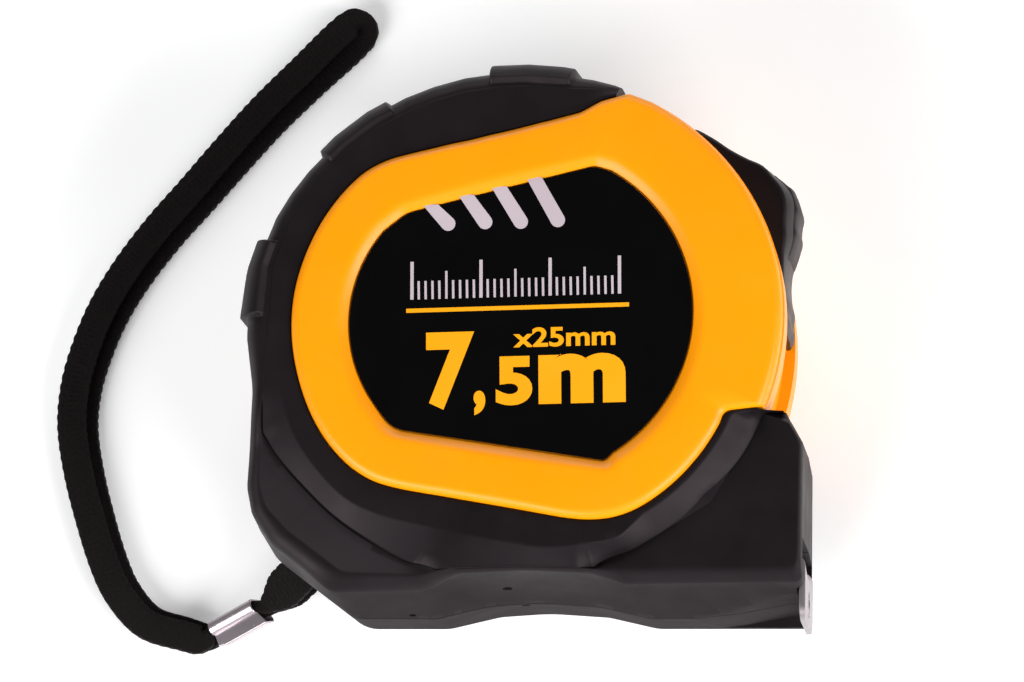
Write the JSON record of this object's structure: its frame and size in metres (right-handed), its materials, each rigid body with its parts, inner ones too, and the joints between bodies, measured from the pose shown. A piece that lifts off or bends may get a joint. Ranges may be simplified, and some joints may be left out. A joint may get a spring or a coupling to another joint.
{
  "type": "tape measure",
  "caption": "Pocket tape measure with a round glossy case, rubber grip, thumb lock, steel end hook, belt clip and braided wrist strap, lying on its clip.",
  "frame": {"origin": "on the reel axis, in the plane of the belt clip's flat outer face, which is the surface the object lies on", "axes": "+X towards the mouth and the way the blade pulls out, +Y towards the top of the case, +Z out of the labelled front face; the base of the case faces -Y"},
  "size_m": [0.1163, 0.1, 0.0415],
  "materials": {
    "shell_yellow": "glossy moulded amber yellow ABS",
    "grip_rubber": "satin black overmoulded rubber",
    "label_black": "smooth black printed label",
    "screw_steel": "zinc-plated steel",
    "clip_steel": "nickel-plated spring steel",
    "reel_plastic": "natural acetal",
    "spring_steel": "blued spring steel",
    "blade_paint": "yellow painted and lacquered steel strip",
    "hook_steel": "bright nickel-plated steel",
    "lock_plastic": "black moulded ABS",
    "lock_rubber": "black rubber pad",
    "ferrule_chrome": "bright plated crimp",
    "strap_braid": "flat braided black polyester"
  },
  "bodies": {
    "case": {"front_shell": "shell_yellow", "rear_shell": "shell_yellow", "front_grip": "grip_rubber", "rear_grip": "grip_rubber", "front_label": "label_black", "rear_label": "label_black", "mouth_bumper": "grip_rubber", "case_screw_1": "screw_steel", "case_screw_2": "screw_steel", "case_screw_3": "screw_steel", "case_screw_4": "screw_steel", "clip_screw": "screw_steel", "centre_post": "screw_steel", "power_spring": "spring_steel", "blade_lead": "blade_paint", "strap_pin": "screw_steel", "strap_ferrule": "ferrule_chrome", "strap_anchor_loop": "strap_braid", "wrist_strap": "strap_braid"},
    "reel_assembly": {"reel": "reel_plastic", "reel_cover": "reel_plastic", "blade_coil": "blade_paint"},
    "blade_end": {"blade": "blade_paint", "hook_rivet_1": "screw_steel", "hook_rivet_2": "screw_steel", "hook_rivet_3": "screw_steel"},
    "hook": {"end_hook": "hook_steel"},
    "lock": {"thumb_lock": "lock_plastic", "thumb_pad": "lock_rubber", "lock_arm": "reel_plastic", "brake_pad": "lock_rubber"},
    "clip": {"belt_clip": "clip_steel"}
  },
  "joints": [
    {"name": "reel_spin", "type": "hinge", "parent": "case", "child": "reel_assembly", "pos_m": [0, 0, 0.023], "axis": [0, 0, 1], "range_deg": [0, 64.5], "stiffness_Nm_per_rad": 0.02, "springref_deg": -114.59},
    {"name": "blade_pull", "type": "slide", "parent": "case", "child": "blade_end", "axis": [1, 0, 0], "range_m": [0, 0.03]},
    {"name": "hook_slide", "type": "slide", "parent": "blade_end", "child": "hook", "axis": [1, 0, 0], "range_m": [0, 0.0008]},
    {"name": "lock_slide", "type": "hinge", "parent": "case", "child": "lock", "pos_m": [0, 0, 0.023], "axis": [0, 0, 1], "range_deg": [-8, 0]},
    {"name": "clip_flex", "type": "hinge", "parent": "case", "child": "clip", "pos_m": [0, 0.0195, 0.0034], "axis": [1, 0, 0], "range_deg": [0, 3.5], "stiffness_Nm_per_rad": 3, "springref_deg": -2.86}
  ],
  "couplings": [
    {"joint": "blade_pull", "follows": "reel_spin", "m_per_rad": 0.0265}
  ]
}
